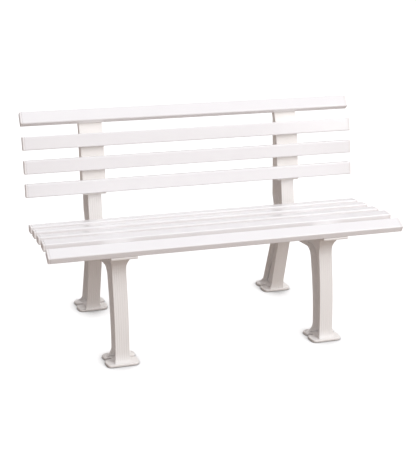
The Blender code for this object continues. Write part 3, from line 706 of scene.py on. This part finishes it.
def screw_seat(name):
    """Top of a screw's head, its direction, head radius and whole length."""
    axis = PLACES[name.split("_screw_")[0]]["normal"]
    heights = [vertex.co.dot(axis) for vertex in NODES[name].data.vertices]
    low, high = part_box(name)
    middle = low.lerp(high, 0.5)
    top = middle + axis * (min(heights) - middle.dot(axis))
    return {"top": top, "axis": axis, "radius": (high.x - low.x) / 2.0,
            "length": max(heights) - min(heights)}


seats = [screw_seat(name) for name in SCREWS]
points_mesh = bpy.data.meshes.new("screw_points")
points_mesh.from_pydata([seat["top"] for seat in seats], [], [])
facing = points_mesh.attributes.new("facing", "FLOAT_VECTOR", "POINT")
for index, seat in enumerate(seats):
    facing.data[index].vector = seat["axis"]
shank_length = min(seat["length"] for seat in seats) - HEAD_HEIGHT
sizes = {"Head radius": seats[0]["radius"], "Head height": HEAD_HEIGHT,
         "Shank radius": SHANK_RADIUS, "Shank length": shank_length,
         "Recess width": RECESS_WIDTH, "Recess depth": RECESS_DEPTH, "Material": ZINC}
screw_mesh = nodes_mesh(SCREW_TREE, sizes, points_mesh)
screws = finished("slat_screws", screw_mesh, SCREWS)
screw_mesh.set_sharp_from_angle(angle=SLAT_SHARP)
print("screws:", len(SCREWS), "faces:", len(screw_mesh.polygons))

# %% [markdown]
# The bolts keep their solids, because only their flat heads show between bracket and slat. The
# nuts behind the uprights get the small chamfer that every pressed nut has.

# %% Bolts and nuts
for name, node in NODES.items():
    if name.startswith("bracket_bolt"):
        node.data.materials.clear()
        node.data.materials.append(ZINC)
    if name.startswith("bracket_nut"):
        even_normals(rounded_solid(name, ZINC, NUT_ROUND))
print("steel on bolts and nuts")

# %% [markdown]
# The studio is a white room with a lit floor. A wide soft light comes from in front and the right,
# a low one from behind keeps the back readable, and a lamp fills the right side. The room itself
# is bright above and brownish low down, so faces that look down or to the left go darker, and a
# white sheet hangs behind.
#
# Seen by the camera, the floor glows like a light table: that takes every shadow away except where
# something stands close to the floor, which an occlusion node finds. There the glow dims, so the
# contact shadows under the feet are painted shade.

# %% Floor, world and lamps
BRIGHT_SIDE = (0.12, -0.42, 0.82)   # the room grows brighter this way
ROOM_RANGE = (-0.3, 0.9)
ROOM_LOW = "68503F"
ROOM_HIGH = "EEEEF2"
SHEET_COLOUR = "E8E6E6"
SHEET_EDGE = (0.78, 0.92)           # soft edge of the sheet behind
BACKDROP_STRENGTH = 1.05
FLOOR_HALF = 12.0
FLOOR_SEEN = "A0A0A0"               # the floor as the camera sees it, before its glow
FLOOR_BOUNCE = "A89B92"             # and as it lights the bench
FLOOR_GLOW = 0.85
# painted contact shadow: how far, how strongly and how finely occlusion dims the floor's camera-only
# glow near the feet
PAINTED_CONTACT_SHADOW_REACH = 0.09
PAINTED_CONTACT_SHADOW_RANGE = (0.45, 1.0)
PAINTED_CONTACT_SHADOW_SAMPLES = 12
LAMP_AIM = Vector((0.0, 0.0, 0.4))


def studio_world():
    """A white backdrop for the camera, and for the light a room that is brighter above."""
    world = bpy.data.worlds.new("studio")
    bpy.context.scene.world = world
    world.use_nodes = True
    tree = world.node_tree
    tree.nodes.clear()
    output = add_node(tree, "ShaderNodeOutputWorld")
    way = add_node(tree, "ShaderNodeTexCoord").outputs["Generated"]
    lean = add_node(tree, "ShaderNodeVectorMath", {0: way, 1: BRIGHT_SIDE}, operation="DOT_PRODUCT")
    rise = ranged(tree, lean.outputs["Value"], ROOM_RANGE)
    shade = blend(tree, rise, linear(ROOM_LOW), linear(ROOM_HIGH))
    behind = add_node(tree, "ShaderNodeSeparateXYZ", {0: way}).outputs["Y"]
    walls = blend(tree, ranged(tree, behind, SHEET_EDGE), shade, linear(SHEET_COLOUR))
    room = add_node(tree, "ShaderNodeBackground", {"Color": walls, "Strength": 1.0})
    backdrop = add_node(tree, "ShaderNodeBackground",
                        {"Color": linear("FFFFFF"), "Strength": BACKDROP_STRENGTH})
    seen = add_node(tree, "ShaderNodeLightPath").outputs["Is Camera Ray"]
    mix = add_node(tree, "ShaderNodeMixShader",
                   {0: seen, 1: room.outputs[0], 2: backdrop.outputs[0]})
    tree.links.new(mix.outputs[0], output.inputs["Surface"])


def floor_plane(half_size):
    """A wide pale floor under the feet, with a glow that only the camera sees, dimmed near the feet
    into painted contact shadows.
    """
    mesh = bpy.data.meshes.new("floor")
    corners = [(-half_size, -half_size, 0.0), (half_size, -half_size, 0.0),
               (half_size, half_size, 0.0), (-half_size, half_size, 0.0)]
    mesh.from_pydata(corners, [], [(0, 1, 2, 3)])
    material, tree, output = new_material("pale_studio_floor")
    seen = add_node(tree, "ShaderNodeLightPath").outputs["Is Camera Ray"]
    shade = blend(tree, seen, linear(FLOOR_BOUNCE), linear(FLOOR_SEEN))
    paper = add_node(tree, "ShaderNodeBsdfDiffuse", {"Color": shade})
    # painted contact shadow: occlusion near the feet dims the floor's camera-only glow
    near = add_node(tree, "ShaderNodeAmbientOcclusion", {"Distance": PAINTED_CONTACT_SHADOW_REACH},
                    samples=PAINTED_CONTACT_SHADOW_SAMPLES)
    glow_with_painted_contact_shadow = ranged(tree, near.outputs["AO"], PAINTED_CONTACT_SHADOW_RANGE, (0.0, FLOOR_GLOW))
    glow = calc(tree, "MULTIPLY", seen, glow_with_painted_contact_shadow)
    # the floor glows for the camera though it is no lamp; where the glow dims near the feet it
    # paints the contact shadows
    painted_floor_glow = add_node(tree, "ShaderNodeEmission", {"Strength": glow})
    lit = add_node(tree, "ShaderNodeAddShader", {0: paper.outputs[0], 1: painted_floor_glow.outputs[0]})
    tree.links.new(lit.outputs[0], output.inputs["Surface"])
    mesh.materials.append(material)
    floor = bpy.data.objects.new("floor", mesh)
    bpy.context.scene.collection.objects.link(floor)


def wide_sun(name, turn, height, spread, strength, in_reflections=True):
    """Even light from far away, angles in degrees; turn 0 is straight ahead of the bench."""
    data = bpy.data.lights.new(name, "SUN")
    data.energy = strength
    data.angle = math.radians(spread)
    lamp = bpy.data.objects.new(name, data)
    bpy.context.scene.collection.objects.link(lamp)
    tilt = Matrix.Rotation(math.radians(90.0 - height), 4, "X")
    lamp.matrix_world = Matrix.Rotation(math.radians(turn), 4, "Z") @ tilt
    lamp.visible_glossy = in_reflections


def soft_lamp(name, place, size, power):
    """A square soft lamp that looks at the middle of the bench."""
    data = bpy.data.lights.new(name, "AREA")
    data.size = size
    data.energy = power
    lamp = bpy.data.objects.new(name, data)
    bpy.context.scene.collection.objects.link(lamp)
    turn = (LAMP_AIM - Vector(place)).to_track_quat("-Z", "Y").to_matrix().to_4x4()
    lamp.matrix_world = Matrix.Translation(place) @ turn


studio_world()
floor_plane(FLOOR_HALF)
wide_sun("front_light", turn=42.0, height=36.0, spread=40.0, strength=1.05)
wide_sun("back_light", turn=155.0, height=6.0, spread=40.0, strength=1.60, in_reflections=False)
soft_lamp("right_lamp", (2.2, -2.4, 1.8), size=1.6, power=18.0)
print("studio ready")

# %% [markdown]
# The scene is brought up to date once every piece is in place.

# %% Bring the scene up to date
bpy.context.view_layer.update()
